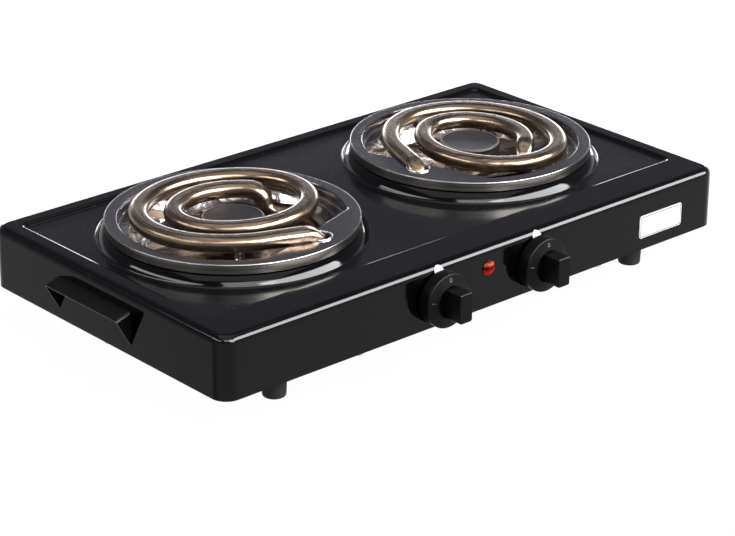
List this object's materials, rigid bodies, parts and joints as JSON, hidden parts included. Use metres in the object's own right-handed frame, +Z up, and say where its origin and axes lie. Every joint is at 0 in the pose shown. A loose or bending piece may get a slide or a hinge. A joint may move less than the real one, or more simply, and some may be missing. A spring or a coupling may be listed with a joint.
{
  "type": "hot plate",
  "caption": "Free-standing electric hot plate: flat enamelled casing with spiral coil burners in chrome drip pans, turning front knobs, a lamp and rubber feet.",
  "frame": {"origin": "on the surface that the feet stand on, under the middle of the bounding box", "axes": "+X along the length to the right as seen from the knobs, -Y towards the knobs, +Z up"},
  "size_m": [0.495, 0.2928, 0.0884],
  "materials": {
    "casing_enamel": "gloss black stove enamel on pressed steel",
    "base_steel": "galvanised sheet",
    "pan_chrome": "bright plated",
    "coil_sheath": "heat-tinted brown steel sheath",
    "support_steel": "plain steel strip",
    "cap_enamel": "satin black enamel",
    "ferrule_steel": "bright",
    "knob_plastic": "fine-grained black phenolic moulding",
    "lamp_red": "clear red lens",
    "bulb_glass": "neon bulb",
    "foot_rubber": "matte black",
    "black_plastic": "moulded nylon",
    "ceramic": "white steatite ceramic",
    "brass": "bright",
    "zinc_steel": "zinc plated"
  },
  "bodies": {
    "body": {"casing": "casing_enamel", "base_plate": "base_steel", "left_handle": "casing_enamel", "right_handle": "casing_enamel", "cord_gland": "black_plastic", "terminal_block": "ceramic", "block_terminals": "brass", "block_screws": "zinc_steel", "earth_screw": "zinc_steel", "base_screws": "zinc_steel", "foot_screws": "zinc_steel", "foot_nuts": "zinc_steel", "support_screws": "zinc_steel", "stack_rivets": "zinc_steel", "thermostat_screws": "zinc_steel", "lamp_lens": "lamp_red", "lamp_clip": "zinc_steel", "lamp_bulb": "bulb_glass", "front_left_foot": "foot_rubber", "front_right_foot": "foot_rubber", "rear_left_foot": "foot_rubber", "rear_right_foot": "foot_rubber", "left_drip_pan": "pan_chrome", "left_coil": "coil_sheath", "left_coil_support": "support_steel", "left_centre_cap": "cap_enamel", "left_ferrules": "ferrule_steel", "left_coil_beads": "ceramic", "left_coil_pins": "zinc_steel", "left_thermostat_frame": "zinc_steel", "left_stack": "ceramic", "left_contact_blade": "brass", "left_bimetal": "zinc_steel", "right_drip_pan": "pan_chrome", "right_coil": "coil_sheath", "right_coil_support": "support_steel", "right_centre_cap": "cap_enamel", "right_ferrules": "ferrule_steel", "right_coil_beads": "ceramic", "right_coil_pins": "zinc_steel", "right_thermostat_frame": "zinc_steel", "right_stack": "ceramic", "right_contact_blade": "brass", "right_bimetal": "zinc_steel"},
    "left_knob": {"left_knob": "knob_plastic", "left_shaft": "zinc_steel"},
    "right_knob": {"right_knob": "knob_plastic", "right_shaft": "zinc_steel"}
  },
  "joints": [
    {"name": "left_knob_turn", "type": "hinge", "parent": "body", "child": "left_knob", "pos_m": [-0.047, -0.1186, 0.0444], "axis": [0, 1, 0], "range_deg": [0, 270]},
    {"name": "right_knob_turn", "type": "hinge", "parent": "body", "child": "right_knob", "pos_m": [0.047, -0.1186, 0.0444], "axis": [0, 1, 0], "range_deg": [0, 270]}
  ]
}
